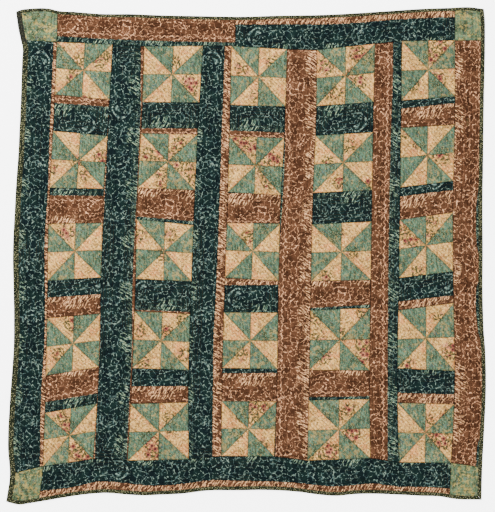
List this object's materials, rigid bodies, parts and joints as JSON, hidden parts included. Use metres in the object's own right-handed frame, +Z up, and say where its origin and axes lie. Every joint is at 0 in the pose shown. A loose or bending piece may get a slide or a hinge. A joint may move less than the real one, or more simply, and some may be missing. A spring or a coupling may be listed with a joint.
{
  "type": "pinwheel quilt",
  "caption": "Flat patchwork quilt of pinwheel blocks between upright sashes, with borders, corner squares and a folded binding, lying face up.",
  "frame": {"origin": "middle of the quilt's bounding box, on the surface that it lies on", "axes": "+Z up out of the pieced face, +Y towards the head edge of the quilt, +X to the right as the face is read"},
  "size_m": [2.1592, 2.2364, 0.0069],
  "materials": {
    "quilted_cotton": "soft washed printed cotton in dark teal, rust brown, sage green and cream, hand quilted",
    "binding_cotton": "olive cotton with a fine dotted print, folded over the edge and whipped down"
  },
  "bodies": {
    "root": {"quilt_panel": "quilted_cotton", "binding_top": "binding_cotton", "binding_right": "binding_cotton", "binding_bottom": "binding_cotton", "binding_left": "binding_cotton"}
  },
  "joints": []
}
